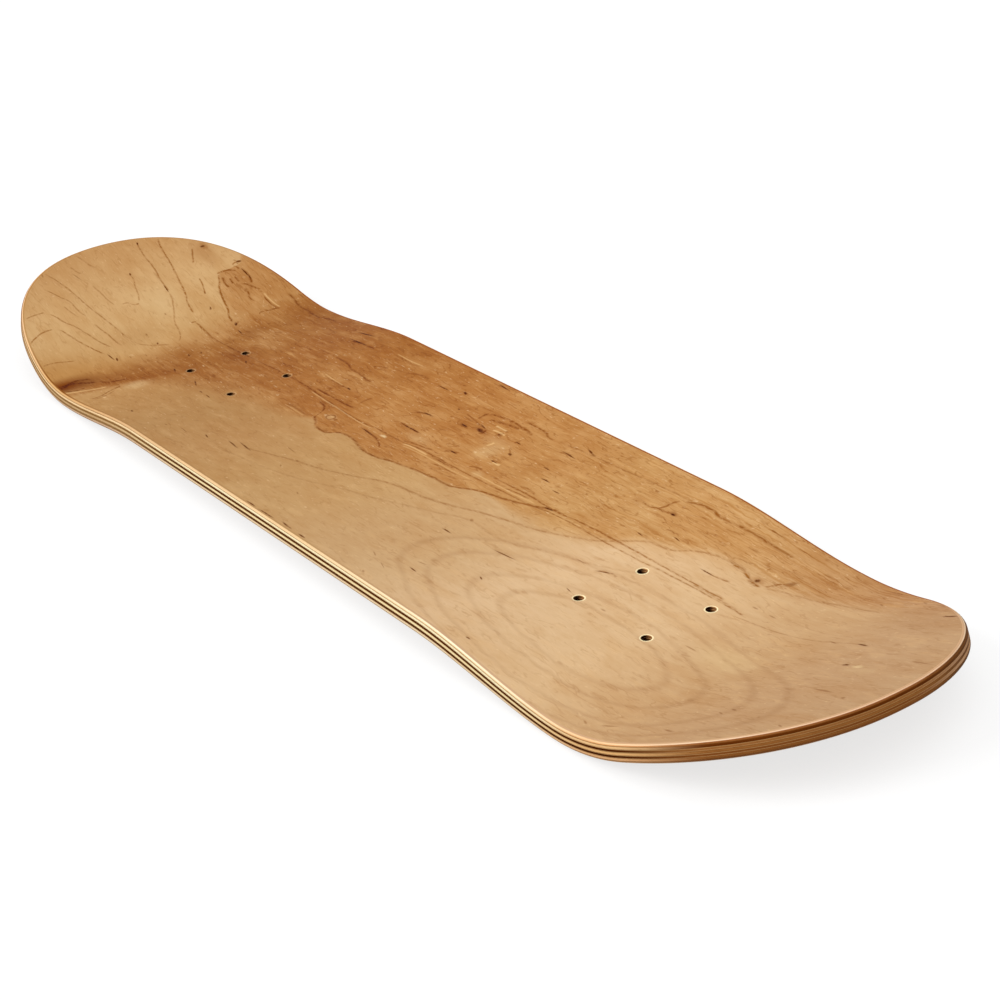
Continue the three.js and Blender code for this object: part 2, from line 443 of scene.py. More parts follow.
def edge_of_veneer(name, tones, glue_tone, arris=None, gloss=0.02):
    """The sanded and sealed rim of one veneer. Its four tones lie along the rails, along them near
    the nose, round the tips and round the right half of the tips. A face veneer is painted paler
    next to its arris, as a painted highlight on the rounding there; the arris is 0 for its upper
    side and 1 for its lower side."""
    finish = Finish(bpy.data.materials.new(name))
    place = finish.node("TexCoord", {}, [], "Object")
    along = coordinate(place, "X")
    across = coordinate(place, "Y")
    rim = finish.node("UVMap", {"uv_map": "rim"}, [])
    facing = coordinate(rim, "X")
    through = coordinate(rim, "Y")
    fibre = grain(place, (22, 0.5, 0.25), 3.1, 3)
    patches = grain(place, (35, 18, 6), 5.7)
    tip_fibre = grain(place, (6, 9, 0.5), 4.3, 3)
    side_tone, nose_tone, tip_tone, right_tip_tone = [tone(*rgb) for rgb in tones]
    at_tip = rising(facing, 0.15, 0.6)
    near_nose = rising(along, 80 * mm, 200 * mm)
    colour = blended(near_nose, side_tone, nose_tone)
    near_tail = rising(along, -220 * mm, -300 * mm)
    colour = stained(colour, near_tail * 0.9, (0.87, 0.6, 0.42))
    on_right = rising(across, 0, -55 * mm)
    colour = blended(at_tip, colour, blended(on_right, tip_tone, right_tip_tone))
    colour = stained(colour, rising(fibre, 0.45, 0.75) * 0.4, (0.72, 0.58, 0.42))
    colour = stained(colour, rising(tip_fibre, 0.4, 0.7) * at_tip * 0.5, (0.72, 0.62, 0.5))
    colour = stained(colour, rising(patches, 0.4, 0.7) * 0.2, (0.85, 0.72, 0.55))
    glued = rising(abs(through - 0.5), 0.3, 0.46)
    colour = blended(glued * (0.45 + 0.5 * patches), colour, glue_tone)
    if arris is not None:
        inner = abs(through - arris)
        # painted highlight: the rim is paler next to its arris
        pale_highlight_share = rising(abs(inner - 0.42 + 0.12 * at_tip), 0.3 - 0.1 * at_tip, 0.1)
        colour = blended(pale_highlight_share * (0.6 + 0.4 * patches), colour, toned_along(along, arris_highlight_tones))
        right_rail = rising(across, -60 * mm, -90 * mm) * (1 - at_tip)
        skin = blended(right_rail, toned_along(along, skin_tones), tone(150, 74, 24))
        colour = blended(rising(inner, 0.26, 0.1), colour, skin)
    roughness = 0.42 + 0.2 * fibre
    lacquered(finish, colour, roughness, fibre, 0.06 * mm, gloss)
    return finish


def face_map(finish):
    """Places on the flat veneer, before the press bends it: along the board and across it."""
    return finish.node("UVMap", {"uv_map": "board"}, [])


def wavering(place, amount):
    """Places moved a little across the board, so that what is drawn there runs unevenly."""
    finish = place.finish
    slow = grain(place, (70, 20), 11.3)
    quick = grain(place, (12, 4), 12.9, 3)
    shift = (slow - 0.5 + 0.6 * (quick - 0.5)) * amount
    moved = finish.node("CombineXYZ", {}, {1: shift})
    return finish.node("VectorMath", {"operation": "ADD"}, [place, moved])


amber_stain = (0.78, 0.62, 0.4)
fleck_stain = (0.55, 0.36, 0.2)


def plain_maple(name):
    """A quiet maple face, with the soft loops of a peeled veneer."""
    finish = Finish(bpy.data.materials.new(name))
    place = face_map(finish)
    waved = wavering(place, 9 * mm)
    across = coordinate(waved, "Y")
    hills = grain(waved, (260, 55), 21.7, 1)
    rings = (across / (34 * mm) + hills * 4.2).math("PINGPONG", 0.5)
    cloud = grain(place, (120, 40), 22.4)
    mottle = grain(waved, (22, 8), 20.6, 4)
    streaky = grain(waved, (90, 2), 23.9, 3)
    fibre = grain(waved, (12, 0.6), 24.2, 3)
    fleck = grain(waved, (6, 1), 25.8, 2)
    spark = grain(waved, (4.5, 1), 26.3, 2)
    mineral = grain(waved, (16, 2), 27.1, 1)
    colour = blended(rising(cloud, 0.3, 0.7), tone(217, 181, 138), tone(203, 160, 110))
    colour = stained(colour, rising(mottle, 0.42, 0.66) * 0.35, (0.8, 0.66, 0.48))
    colour = stained(colour, rising(rings, 0.07, 0) * (0.25 + 0.6 * mottle), (0.66, 0.48, 0.3))
    colour = stained(colour, rising(streaky, 0.5, 0.7) * 0.5, amber_stain)
    colour = stained(colour, rising(fibre, 0.45, 0.75) * 0.35, amber_stain)
    colour = stained(colour, rising(fleck, 0.6, 0.74) * 0.5, fleck_stain)
    colour = stained(colour, rising(mineral, 0.76, 0.84) * 0.7, (0.34, 0.18, 0.06))
    colour = blended(rising(spark, 0.62, 0.78) * 0.35, colour, tone(240, 210, 166))
    lacquered(finish, colour, 0.4 + 0.12 * fibre, fibre, 0.03 * mm)
    return finish


face_edge_tones = [(240, 206, 158), (206, 162, 112), (150, 92, 48), (108, 68, 34)]

# the wall of a bolt hole: dark on two sides and pale on the other two, partly as end grain and side
# grain and partly as painted shade inside the hole
hole_wall = Finish(bpy.data.materials.new("drilled_hole_wall"))
inside_hole = hole_wall.node("TexCoord", {}, [], "Object")
hole_across = coordinate(inside_hole, "Y")
hole_height = coordinate(inside_hole, "Z")
drilled_grain = grain(inside_hole, (0.4, 0.4, 0.3), 7.9)
off_middle = abs(abs(hole_across) - bolt_side_spacing / 2) / bolt_hole_radius
drilled_tone_and_shade = blended(rising(off_middle, 0.4, 1), tone(40, 16, 4), tone(206, 150, 96))
drilled_tone_and_shade = stained(drilled_tone_and_shade, rising(drilled_grain, 0.3, 0.7), (0.6, 0.5, 0.4))
torn = rising(hole_height, deck_thickness - 0.3 * mm, deck_thickness + 0.2 * mm)
drilled_tone_and_shade = blended(torn * 0.4, drilled_tone_and_shade, tone(214, 166, 110))
lacquered(hole_wall, drilled_tone_and_shade, 0.8 + 0.2 * drilled_grain, drilled_grain, 0.1 * mm, 0)


def laid(piece, finishes, node):
    """Gives a piece its finishes, drills it and puts it in the place of its solid."""
    for finish in [*finishes, hole_wall]:
        piece.data.materials.append(finish.owner)
    drilled(piece)
    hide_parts(node)
    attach(piece, "root")


glue_stain = tone(132, 80, 34)
bottom_face = pressed_veneer("bottom_face_sheet", 6, hidden_rings, seen_rings)
bottom_edge = edge_of_veneer("bottom_face_edge", face_edge_tones, glue_stain, 1)
laid(bottom_face, [plain_maple("underside_maple"), bottom_edge], "bottom_face_veneer")


# Core veneers
# Three maple veneers with their grain along the board, like the face veneers. Only their rims
# show: pale long grain along the rails, browner end grain round the tips.

core_veneers = [
    ("lower_core", 5, [(250, 224, 184), (222, 186, 152), (150, 94, 46), (112, 74, 42)]),
    ("centre_core", 3, [(255, 234, 182), (216, 180, 132), (162, 106, 54), (118, 78, 46)]),
    ("upper_core", 1, [(255, 240, 196), (255, 220, 170), (104, 50, 8), (104, 64, 30)]),
]
for name, number, edge_tones in core_veneers:
    core = pressed_veneer(name + "_sheet", number, hidden_rings, hidden_rings)
    edge = edge_of_veneer(name + "_edge", edge_tones, glue_stain)
    laid(core, [edge, edge], name + "_veneer")


# Crossband veneers
# Two veneers with their grain across the board, which stiffen it. Their rims are the two dark
# bands of the layup: end grain, which drinks the lacquer, along the rails.

crossband_glue = tone(214, 168, 110)
crossband_veneers = [
    ("lower_crossband", 4, [(74, 34, 2), (148, 112, 68), (138, 82, 38), (206, 162, 126)]),
    ("upper_crossband", 2, [(78, 34, 0), (146, 108, 60), (166, 110, 60), (192, 150, 118)]),
]
for name, number, edge_tones in crossband_veneers:
    crossband = pressed_veneer(name + "_sheet", number, hidden_rings, hidden_rings)
    edge = edge_of_veneer(name + "_edge", edge_tones, crossband_glue, gloss=0)
    laid(crossband, [edge, edge], name + "_veneer")


# Top face veneer
# The standing face: a peeled maple veneer, lacquered, with no grip tape. Its left half is pale
# sapwood with wide soft loops, its right half amber heartwood with dark veins and streaks.
# All places in the tables are in mm, along the board from its middle and across it.

# the sapwood is lighter from about -235 to -150 mm: partly its own colour and partly a painted
# sheen
sapwood_and_sheen_tones = [
    (-395, 189, 152, 113), (-330, 190, 151, 110), (-290, 197, 158, 114), (-235, 216, 181, 138),
    (-150, 219, 184, 142), (-100, 206, 169, 124), (-50, 199, 160, 113), (0, 195, 154, 103),
    (60, 190, 148, 96), (110, 185, 141, 90), (160, 179, 136, 85), (225, 182, 138, 86),
    (285, 202, 161, 108), (340, 209, 169, 118), (405, 194, 148, 96),
]
heartwood_tones = [
    (-395, 186, 144, 104), (-300, 187, 143, 100), (-200, 206, 162, 109), (-100, 197, 151, 96),
    (0, 186, 132, 75), (100, 176, 120, 63), (200, 162, 106, 52), (262, 159, 104, 49),
    (300, 192, 142, 88), (405, 190, 140, 88),
]
heart_edge = [
    (-395, -92), (-300, -80), (-240, -57), (-220, -57), (-200, -57), (-186, -51), (-175, -44),
    (-163, -41), (-150, -33), (-140, -25), (-120, -17), (-105, -13), (-91, -13), (-75, -13),
    (-65, -14), (-45, -13), (-30, -7), (-8, -4.5), (20, 0), (46, 5), (58, 3), (68, 0.5), (80, 1),
    (88, 7.5), (101, 6.5), (108, 2), (120, 6), (150, 12), (190, 22), (222, 34), (236, 50),
    (246, 72), (258, 108), (300, 108),
]
nose_heart_edge = [
    (270, -20), (286, -40), (299, -43), (314, -47), (323, -50), (332, -55), (339, -60), (343, -78),
    (405, -95),
]
# width, strength and points of each line
dark_veins = [
    # the heartwood's outline
    (1.2, 0.9, [(-98, -31), (-91, -28), (-65, -19), (-53, -16), (-45, -14), (-32, -7.5), (-25, -5),
        (-8, -4.5), (20, 0), (46, 5), (58, 3), (68, 0.5), (80, 1), (88, 7.5), (101, 6.5)]),
    (1.2, 1, [(100, 7), (106, 3), (112, 0), (114.5, -5), (119, -11), (132, -15)]),
    # the long diagonals
    (1.3, 0.5, [(-236, -52), (-228, -53), (-220, -57.5), (-200, -57.5), (-186, -52), (-175, -44),
        (-163, -42), (-150, -34), (-140, -25), (-120, -15), (-105, -9), (-85, -4), (-65, 2),
        (-45, 9), (-25, 14), (0, 18), (20, 28), (42, 38), (62, 44), (85, 54), (98, 59)]),
    (0.8, 0.55, [(-180, -48), (-175, -44), (-163, -42), (-150, -34), (-140, -25), (-120, -15),
        (-105, -9), (-85, -4)]),
    (1.1, 0.9, [(-237, -53.6), (-232.4, -52.9), (-227, -54), (-222, -56), (-216, -57.6),
        (-208, -57.2)]),
    (1.1, 0.7, [(-245, -64.6), (-241, -63), (-239, -59), (-237, -54.6)]),
    (1.2, 0.9, [(-228, -84), (-224, -83.8), (-205, -83.7), (-187, -83.4), (-180, -82.4),
        (-173, -81.9), (-165, -83), (-160, -83.2), (-149, -81.3), (-144, -78.7)]),
    (1.1, 0.9, [(-144.5, -79), (-140.9, -75.2), (-140.4, -70.5), (-138.3, -66.3)]),
    (1, 0.8, [(-153, -67.8), (-149.6, -67), (-146, -66.8), (-138.3, -66.3), (-132.8, -64.8),
        (-124.5, -67.6)]),
    (0.9, 0.7, [(-222, -45.8), (-212.7, -43.3), (-201.8, -43.2)]),
    (0.8, 0.6, [(-212.4, -74.8), (-208, -73.9), (-202.4, -73.9)]),
    (0.8, 0.6, [(-166, -55.1), (-161, -56.3), (-158, -54.8)]),
    (0.9, 0.6, [(-213.7, -91.5), (-206.5, -92.1), (-199.3, -92.7)]),
    (1.3, 0.25, [(-185, -20), (-160, -8), (-130, 2), (-100, 12), (-70, 11), (-50, 19), (-30, 28),
        (-10, 37), (10, 44), (40, 58), (66, 65), (100, 70)]),
    # the lines that run almost the whole length
    (0.7, 0.8, [(-252, -27.5), (-240, -28.5), (-200, -28), (-150, -26), (-110, -26.5), (-80, -24),
        (-55, -22.5), (-32, -21.5), (-10, -21), (22, -21), (42, -18.5), (70, -18), (88, -16.5),
        (127, -18.5), (153, -20.5), (180, -21), (205, -20), (240, -18.5), (299, -17)]),
    (1.1, 1, [(150, -20.5), (158, -21), (168, -21)]),
    (0.8, 0.85, [(-234, -31.5), (-200, -31), (-160, -31), (-120, -30.5), (-90, -29), (-72, -30),
        (-57, -29.5), (-43, -29), (-32, -28)]),
    (0.7, 0.8, [(-74, -27.5), (-62, -27), (-52, -25.5)]),
    (1.5, 0.6, [(-246, -28.6), (-235, -29.5), (-222, -30.6), (-208, -30.6)]),
    (1, 0.6, [(-163.5, -3.4), (-165.4, -5.5), (-169.4, -7), (-173.6, -7.5), (-177.6, -7)]),
    (0.8, 0.7, [(-12, -20.5), (-3, -19.5), (5, -20), (15, -20.5)]),
    (0.8, 0.8, [(-20, -16), (-8, -16), (1, -15.5), (8, -14)]),
    (0.8, 0.7, [(-24, -13.5), (-15, -11.5), (-6, -11), (2, -10)]),
    (0.9, 0.9, [(103, -25), (112, -23.5), (136, -23.5), (150, -23.5)]),
    (0.8, 0.8, [(127, -36.5), (142, -36), (152, -36), (162, -38)]),
    (1, 0.9, [(44, -3), (51, -7.5), (59, -10.5), (69, -12), (79, -13)]),
    (1, 0.9, [(43, -31.5), (56, -32), (66, -32)]),
    (0.6, 0.4, [(-330, -38), (-307, -35), (-290, -32), (-262, -27), (-245, -24)]),
    (1, 0.4, [(-300, -73), (-280, -70), (-262, -63), (-247, -58), (-236, -53)]),
    (0.9, 0.5, [(-156, -82.5), (-120, -81.5), (-80, -80), (-33, -77.5)]),
    (0.9, 0.9, [(-33, -77.5), (-27, -77), (-20, -79.5), (-10, -80), (0, -80)]),
    (1, 0.8, [(125, -51.5), (132, -51), (141, -52), (151, -52.5), (163, -55.5), (180, -56.5)]),
    (1.1, 0.8, [(163, -78.5), (174, -78), (183, -78), (192, -75.5)]),
    (1, 0.7, [(96, -75.5), (107, -75.5), (112, -74), (118, -68)]),
    (1, 0.6, [(133, -68), (139, -66.5), (145, -63)]),
    (0.9, 0.7, [(57, -50), (65, -47.5), (72, -43)]),
    (0.8, 0.6, [(115, -82), (129, -81), (146, -81.5)]),
    (0.8, 0.6, [(115, 2), (124, 2), (133, 1.5), (143, 2)]),
    (1, 0.6, [(106, -40), (108, -36), (107, -28)]),
    # the swirl in the heartwood
    (1, 0.8, [(28, -64), (29, -69), (28, -73)]),
    (1.1, 0.9, [(10, -75.5), (18, -74.5), (23, -73.5), (28, -72)]),
    (1.2, 0.9, [(11, -69.5), (17, -69.5), (22, -68)]),
    (1.2, 1, [(-17, -71.5), (-10, -74), (-3, -74.5), (5, -75.5), (12, -75)]),
    (0.9, 0.8, [(-4, -72), (3, -72), (9, -70.5)]),
    (0.8, 0.6, [(20, -61), (27, -62), (34, -63.5), (41, -64)]),
    (0.9, 0.7, [(-25, -30), (-18, -29), (-14, -26)]),
    (1.1, 0.8, [(32.9, -55.5), (28.8, -54.8), (24.4, -54.3)]),
    (0.9, 0.8, [(20.4, -68.8), (13.7, -70.6), (6.6, -70.7), (0, -72.5)]),
    (0.8, 0.7, [(10.8, -65.6), (6.8, -66.3), (-1.7, -65.3)]),
    (1, 0.8, [(2.4, -60.2), (1.9, -62.1), (0.8, -64.2)]),
    (0.9, 0.7, [(-16.2, -54.7), (-20.6, -52.3), (-25.1, -49.3)]),
    (1, 0.7, [(-19.2, -40.3), (-22.5, -40.8), (-26.4, -42.3)]),
    (1.2, 0.6, [(13.2, -28.7), (8.4, -31.1), (3.1, -33.1)]),
    (1.2, 0.8, [(16.6, -53.5), (12.5, -55), (13.5, -60.1)]),
    (1, 0.8, [(44.3, -18.8), (38, -21.7), (29.9, -22.8), (17.5, -25.1)]),
    (1, 0.7, [(-13.9, -60.1), (-14.5, -63.3), (-15, -65.1)]),
    # the flame in the right side of the nose
    (1, 1, [(284, -38.5), (292, -40), (299, -43), (307, -45), (314, -47), (323, -50), (332, -55),
        (340, -59)]),
    (1.1, 1, [(339, -57), (340, -61), (340, -65), (338.5, -69), (334, -72)]),
    (0.9, 0.9, [(343.5, -72), (345, -75), (345.5, -78)]),
    (0.9, 0.9, [(342.5, -72), (339, -74), (337, -74)]),
    (1.1, 1, [(318, -73.5), (323, -75), (328, -76), (333, -76), (338, -75)]),
    (1.2, 1, [(321, -57), (326, -57), (330, -58), (335, -59)]),
    (1, 0.9, [(324, -62), (331, -63)]),
    (1, 0.9, [(324, -67), (331, -67)]),
    (1.3, 1, [(309, -75), (315, -72), (320, -69), (322, -66)]),
    (1, 0.9, [(299, -65), (304, -64), (310, -66), (317, -67)]),
    (1.1, 1, [(284, -76), (285, -72), (285, -68), (289, -65)]),
    (0.9, 0.9, [(284, -75), (290, -73), (294, -73), (302, -73)]),
    (1.2, 0.8, [(234, -92), (246, -90), (256, -88), (267, -89), (278, -88), (287, -89),
        (298, -90)]),
    # the foot of the nose's kick
    (1.6, 1, [(265, 103), (266.5, 97), (268.5, 90), (266.5, 85), (263.5, 81), (261, 75)]),
    (1.2, 0.9, [(269, 103), (269, 94), (271, 87), (270, 81), (266, 76)]),
    (1.1, 0.9, [(262, 101), (258, 95), (256.5, 91), (258, 85)]),
    (1.2, 0.8, [(265, 76), (255.5, 70), (253.5, 64), (252.5, 57)]),
    (1, 0.8, [(234, 93), (235.5, 85), (237.5, 81), (240.5, 76), (243.5, 66)]),
    (0.9, 0.6, [(232, 92), (233, 85), (235, 80), (239.5, 73)]),
    # growth lines of the nose
    (0.7, 0.6, [(300, 31.5), (310, 33), (331, 36.5), (344, 39), (367, 42), (380, 44.5),
        (394, 49.5)]),
    (0.8, 0.6, [(281.5, 10), (284, 15), (290.5, 26), (295, 29.5), (301, 31.5)]),
    (0.8, 0.53, [(281.2, 10.5), (281.8, 7), (284, 3), (291, -1.5), (302, -4), (313, -9),
        (325, -14.5), (337, -18.5)]),
    (0.8, 0.7, [(336, -18.5), (353, -19.5), (362, -21.5), (378, -23), (388, -24), (401, -26.5)]),
    (0.7, 0.6, [(335, 45.5), (344, 47.5), (355, 48), (364, 52), (375, 56.5)]),
    (0.6, 0.53, [(336, 50.5), (343, 52.5), (353, 54)]),
    (0.8, 0.66, [(294, 38.5), (302, 41), (311, 42), (318, 43.5), (327, 45)]),
    (0.7, 0.64, [(296, 45.5), (305, 50.5), (320, 55), (328, 57.5), (336, 62), (344, 64.5),
        (350, 69)]),
    (0.7, 0.64, [(349, 84), (350.5, 77), (351, 69)]),
    (0.8, 0.88, [(291, 53.5), (299, 57.5), (307, 61), (314, 63.5), (322, 66), (328, 68),
        (331.5, 73)]),
    (0.8, 0.88, [(322, 94), (328, 86), (331, 79), (331.5, 72)]),
    (0.7, 0.7, [(297, 98), (298, 92), (297.5, 86), (296, 81), (294, 74)]),
    (0.9, 0.61, [(384, 13.5), (388, 15.5), (395, 17), (405, 20)]),
    (0.8, 0.6, [(382, 25.5), (386, 27.5), (393, 29)]),
    (0.8, 0.88, [(306, -21), (318, -22.5), (328, -26.5), (340, -29.5), (353, -32.5), (369, -36),
        (376, -37), (387, -39), (398, -42)]),
    (0.7, 0.88, [(322, -38), (331, -41.5), (342, -44.5)]),
    (0.7, 0.6, [(334, 6.5), (343, 2.5), (353, -0.5), (361, -3.5), (368, -4)]),
    (0.7, 0.6, [(334, 6), (334, 10.5), (338, 13.5), (338, 18)]),
    (0.7, 0.42, [(338, 22), (348, 24), (355, 24.5), (368, 25.5)]),
    (1, 0.8, [(264, -17.5), (273, -17), (285, -17.5), (298, -17.5)]),
    (0.9, 0.7, [(298.5, -14), (298, -18)]),
    (0.9, 0.8, [(358, -49), (366, -53), (375, -57)]),
    (1.3, 1, [(280.4, -37.9), (282.6, -40.8), (283.7, -42.6)]),
    (0.9, 0.8, [(348.9, -75.3), (346.3, -76.3), (341.9, -75.8)]),
    (0.9, 0.7, [(284.4, -59.6), (286.1, -63), (284.5, -64.4)]),
]
pale_veins = [
    (0.6, 0.4, [(70, -17), (79, -15.5), (95, -16), (115, -17), (128, -17.5), (149, -19)]),
    (0.5, 0.4, [(137, -37), (150, -37.5), (164, -38.5)]),
    (0.7, 0.6, [(284, -76.5), (295, -75), (306, -75)]),
    (1.5, 0.5, [(248.5, 73), (249.5, 78.5), (251.5, 85), (254, 92), (258, 102)]),
    (0.6, 0.4, [(-82, -26.5), (-60, -25), (-40, -24.5), (-20, -24)]),
    (0.5, 0.3, [(118, 4), (128, 3.5), (144, 3.5)]),
    (0.6, 0.35, [(116, -83.5), (129, -82.5), (146, -83)]),
    (0.6, 0.35, [(-30, -18.5), (-10, -17.5), (20, -17.5), (40, -15)]),
    (0.9, 0.7, [(12.8, -66.3), (7.8, -66.3), (0.7, -66.4)]),
    (0.9, 0.7, [(10.4, -62.3), (4.8, -62.7), (-2.6, -62.5)]),
    (1, 0.7, [(-2, -48.3), (-3.5, -50.9), (-3.5, -53.8)]),
    (0.9, 0.8, [(-21.1, -39.6), (-25.4, -39.4), (-28.8, -39.8)]),
    (0.8, 0.6, [(40.9, -16.5), (31.5, -18.9), (14.9, -19.1)]),
]
# centre, stretch along the grain, ring sizes, ring width, strength
loops = [
    ((-215, 45), 2.45, (24, 34, 47, 56), 2.2, 0.2),
    ((104.5, -7.5), 1.3, (2.4,), 0.8, 1),
]
# place along and across, half length, half width, strength
smoky_patches = [
    (326, -66, 24, 14, 0.15), (15, -58, 9, 5, 0.7), (2.5, -61, 5, 3, 0.3), (-230, -57, 6, 4, 0.6),
    (-124, -65, 7, 4, 0.4), (373, -65, 8, 4.5, 0.7), (366, -62, 26, 11, 0.35),
    (236, -14, 20, 16, 0.35), (300, 30, 16, 30, 0.2), (-336, -72, 42, 20, 0.2),
    (15, -57.5, 7, 5, 0.55), (264.3, -43.9, 12, 11, 0.4),
]
pale_patches = [
    (-346, -15.6, 4.5, 1.8, 0.6), (-350, -12, 14, 6, 0.12), (57, -15, 3.6, 1.6, 0.7),
    (-4, -54, 18, 8, 0.14), (238, 58, 9, 12, 0.25), (104.5, -7.5, 6, 4, 0.2),
    (38, -28, 16, 5, 0.16), (330, -6, 26, 22, 0.2), (-8.9, -46.3, 10, 14, 0.22),
    (-26.6, -24.4, 6, 4, 0.2), (-278, 6, 26, 16, 0.28),
]
# for each turn from the grain in degrees: place along and across, half length, half width
mineral_streaks = {
    -22: [
        (-133, 47.5, 2.4, 0.6), (62, -78.5, 2.6, 1.1), (243.5, 28, 3.4, 0.8), (282, -39.5, 3, 1.1),
        (398, -26, 2, 0.8), (258, 0.8, 2, 0.6), (287.5, 17.5, 1.5, 0.8), (213, 29, 5.5, 0.6),
        (221, -13, 3, 0.8),
    ],
    -14: [
        (124, 68, 3.5, 0.7), (283, 50, 2.6, 0.9), (-171, 19.4, 3.4, 0.4), (-61, -81, 6, 0.9),
        (16, -57, 3.8, 2), (18, -61, 4, 0.7), (190.5, 85, 2.2, 0.8), (367, -4, 2.2, 0.9),
        (260, 9, 2.2, 0.7), (307, -34, 2, 0.7),
    ],
    -5: [
        (103.5, 61.5, 8, 0.8), (97, 57, 9, 0.8), (-105.5, 71, 4, 0.6), (-326, -37, 4.5, 0.9),
        (-52, -71.5, 8, 0.7), (-151, -43.5, 3, 0.5), (-170, -53.2, 3.6, 0.5), (70, -11.5, 9, 0.5),
        (131, -36.5, 2.8, 0.8), (46, -97, 7, 0.7), (-16.3, -62, 3, 0.6), (29, -54.8, 4, 0.6),
        (187, 34, 4, 0.5), (197, 33.6, 2.4, 0.8), (341, -18, 6, 0.6), (270, -36.3, 4, 0.6),
        (-22, 97.6, 7, 0.8),
    ],
    0: [
        (-73, 28, 5, 0.8), (-206, -43, 6, 0.5), (-230, -56, 1.7, 1.9), (-64, -46, 5, 0.6),
        (-79, -42, 4, 0.5), (52, -32, 11, 0.5), (373, -64.5, 1.5, 2), (-39, 98.4, 4, 0.8),
        (-2, 98.8, 9, 0.9), (15, 98.9, 6, 0.8), (345, -78, 1.6, 2.4), (330, -75.5, 8, 0.6),
        (185, -78, 12, 0.7), (-185.5, 91.5, 1.8, 0.7), (59, -49.4, 6, 0.7), (7, -31.5, 4.5, 0.6),
        (61.7, -78.7, 1.4, 0.8), (48.7, -64.7, 1.4, 0.7), (-22.5, -51, 2, 0.9), (-22, -40, 4, 0.6),
        (-53.5, -54.3, 3.4, 0.6), (80, -74.6, 7, 0.6), (-150.1, -67.2, 2, 1.1),
    ],
    6: [(287.5, 52.3, 5, 0.7), (-117, 21, 10, 0.6), (-91, -28, 4.5, 0.9), (191, -88, 11, 0.9)],
    12: [(-338, -15, 2.4, 1.3), (-343, -78, 5, 0.9)],
    28: [(-168, -6, 6, 0.5)],
}
faint_streaks = {
    -22: [
        (-276, 90, 2.4, 0.8), (-327, 51.2, 2.6, 0.7), (-369, 52, 2.4, 0.7), (-244, -66, 2.4, 5),
        (-293, -81, 2, 0.8), (-314, -90, 2.4, 0.7), (-71, 10, 2, 1.2), (-95, 95, 2, 0.8),
        (-78, 77, 3.4, 0.6), (-93, 82, 5, 0.4), (17, 68, 2.4, 0.6), (59, 55, 2, 0.6),
    ],
    -14: [
        (-330, 46, 2.6, 0.9), (-307, -35, 4, 0.7), (391, 51, 3, 0.8), (324, -39, 1.6, 0.8),
        (306, -33, 1.6, 0.8), (300, 19, 1.6, 0.8), (315, -3.5, 1.6, 0.8), (-150, -68, 4, 2.2),
    ],
    -5: [
        (-320.5, 76, 4.5, 0.9), (140, 75, 6, 0.6), (77, 37, 7, 0.6), (30, -54, 5, 0.7),
        (33, -61, 7, 0.6),
    ],
    0: [
        (-353, 13, 8, 0.9), (-370, 16, 1.6, 1.2), (-257, 11, 4.6, 0.7), (-199, 19, 2.4, 0.8),
        (-374, -28, 8, 0.7), (-249, -37.5, 2.4, 0.7), (-261, -38, 3, 0.6), (-150, -4.6, 5, 0.5),
        (154, 80, 2, 0.6), (60, 43, 1.4, 0.8), (281, 41, 2, 0.6), (278, 31, 2, 0.7),
        (99, -7, 2, 1.6), (1, -61, 2.4, 2),
    ],
    12: [(-101, 62, 4, 0.6), (380, 30, 6, 0.6), (65, -48, 8, 0.8)],
    28: [(-288, 85, 5, 0.7)],
}


def course(run, points):
    """How far through the run of a line each place is, and where the line lies there."""
    first, last = points[0][0], points[-1][0]
    low = min(height for _, height in points) - 1
    high = max(height for _, height in points) + 1
    path = [((at - first) / (last - first), (height - low) / (high - low)) for at, height in points]
    share = (run - first * mm) / ((last - first) * mm)
    curve = run.finish.node("FloatCurve", {"path": path}, {"Value": share})
    return share, curve * ((high - low) * mm) + low * mm


def drawn_veins(place, table):
    """The strength of the thin lines of a table, each of which runs through its points. A line
    is dark in the middle and fades out to both sides, and over a few mm at both ends."""
    fade = 1.8
    end_length = 4
    end_share = 0.12
    sides = [coordinate(place, axis) for axis in "XY"]
    strongest = None
    for width, strength, points in table:
        spans = [abs(last - first) for first, last in zip(points[0], points[-1])]
        long_way = spans[0] > spans[1]
        run, side = sides if long_way else sides[::-1]
        share, line = course(run, sorted(point if long_way else point[::-1] for point in points))
        faint_end = min(end_share, end_length / max(spans))
        within = rising(abs(share - 0.5), 0.5, 0.5 - faint_end) * strength ** (1 / fade)
        shade = rising(abs(side - line), fade * width * mm, 0) * within
        strongest = shade if strongest is None else strongest.math("MAXIMUM", shade)
    return strongest.math("POWER", fade)


def reach(place, centre, halves):
    """Distance from a centre, in half lengths and half widths of an oval. All are in mm."""
    scale = [1 / (half * mm) for half in halves]
    shift = [-middle / half for middle, half in zip(centre, halves)]
    vectors = [place, (*scale, 0), (*shift, 0)]
    inner = place.finish.node("VectorMath", {"operation": "MULTIPLY_ADD"}, vectors)
    return place.finish.node("VectorMath", {"operation": "LENGTH"}, [inner], "Value")


def drawn_loops(place, table):
    """The strength of the growth rings of a table, drawn out along the grain."""
    darkest = None
    for centre, stretch, sizes, width, strength in table:
        distance = reach(place, centre, (stretch, 1))
        nearest = abs(distance - sizes[0])
        for size in sizes[1:]:
            nearest = nearest.math("MINIMUM", abs(distance - size))
        shade = rising(nearest, width, 0) * strength
        darkest = shade if darkest is None else darkest.math("MAXIMUM", shade)
    return darkest


def drawn_patches(place, table):
    """The strength of the soft patches of a table."""
    strongest = None
    for along, across, half_length, half_width, strength in table:
        distance = reach(place, (along, across), (half_length, half_width))
        shade = rising(distance, 1.1, 0.1) * strength
        strongest = shade if strongest is None else strongest.math("MAXIMUM", shade)
    return strongest


